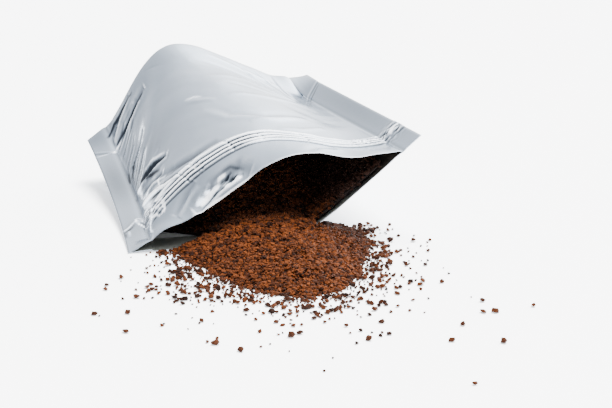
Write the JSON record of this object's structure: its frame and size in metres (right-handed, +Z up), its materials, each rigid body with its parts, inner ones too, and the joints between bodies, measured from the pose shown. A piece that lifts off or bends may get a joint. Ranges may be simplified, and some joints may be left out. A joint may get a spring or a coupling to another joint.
{
  "type": "resealable foil bag",
  "caption": "Plain foil stand-up pouch with a press-to-close zip, lying open on its side with brown coffee granules spilling out of its mouth on to the surface.",
  "frame": {"origin": "middle of the whole part's footprint, on the surface that the pouch and the granules lie on", "axes": "+Z is up; the mouth of the pouch faces -Y and its bottom gusset is at +Y; +X runs across the pouch, to the right of someone who looks into the mouth"},
  "size_m": [0.1887, 0.3558, 0.0721],
  "materials": {
    "foil": "smooth metallised film with a soft gloss",
    "zip": "clear-grey moulded plastic",
    "coffee": "rough, matt, dark brown granules"
  },
  "bodies": {
    "root": {"coffee": "coffee", "granule_01": "coffee", "granule_02": "coffee", "granule_03": "coffee", "granule_04": "coffee", "granule_05": "coffee", "granule_06": "coffee", "granule_07": "coffee", "granule_08": "coffee", "granule_09": "coffee", "granule_10": "coffee", "granule_11": "coffee", "granule_12": "coffee", "granule_13": "coffee", "granule_14": "coffee", "granule_15": "coffee", "granule_16": "coffee", "granule_17": "coffee", "granule_18": "coffee", "granule_19": "coffee", "granule_20": "coffee", "granule_21": "coffee", "granule_22": "coffee", "pouch": "foil", "zip_channel": "zip", "zip_rib": "zip"}
  },
  "joints": []
}
